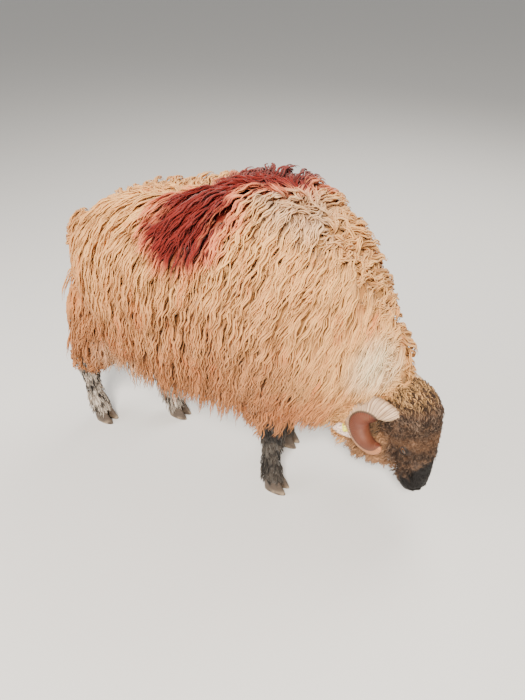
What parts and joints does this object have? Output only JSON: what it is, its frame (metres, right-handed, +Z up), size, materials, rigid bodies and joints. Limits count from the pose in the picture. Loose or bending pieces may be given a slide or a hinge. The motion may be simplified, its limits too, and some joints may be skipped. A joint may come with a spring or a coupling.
{
  "type": "ram",
  "caption": "Life-size long-wool ram, still, grazing with its head down and turned to its right, with coiled horns and a plain ear tag.",
  "frame": {"origin": "on the floor, under the middle of the ram's box", "axes": "+X forward, +Y to the ram's own left, +Z up"},
  "size_m": [1.1384, 0.5346, 0.8937],
  "materials": {
    "wool": "long wavy cream to tan fleece, matt, with a red farm mark on the loin",
    "face_hair": "short black and grizzled brown hair, curly on the poll, tan on the cheek",
    "leg_hair": "grey-black leg hair with pale feathering over the hooves",
    "horn": "ringed horn, grey-beige at the base, orange-brown towards the tip",
    "ear_skin": "pinkish white short hair with dark specks",
    "hoof": "dull dark horn",
    "eye": "wet dark eye with a level pupil",
    "tag": "plain yellow plate"
  },
  "bodies": {
    "root": {"torso": "wool", "neck": "wool", "tail": "wool", "head": "face_hair", "leg_fore_right": "leg_hair", "leg_fore_left": "leg_hair", "leg_hind_right": "leg_hair", "leg_hind_left": "leg_hair", "hoof_fore_right": "hoof", "hoof_fore_left": "hoof", "hoof_hind_right": "hoof", "hoof_hind_left": "hoof", "horn_right": "horn", "ear_right": "ear_skin", "eye_right": "eye", "horn_left": "horn", "ear_left": "ear_skin", "eye_left": "eye", "ear_tag": "tag"}
  },
  "joints": []
}
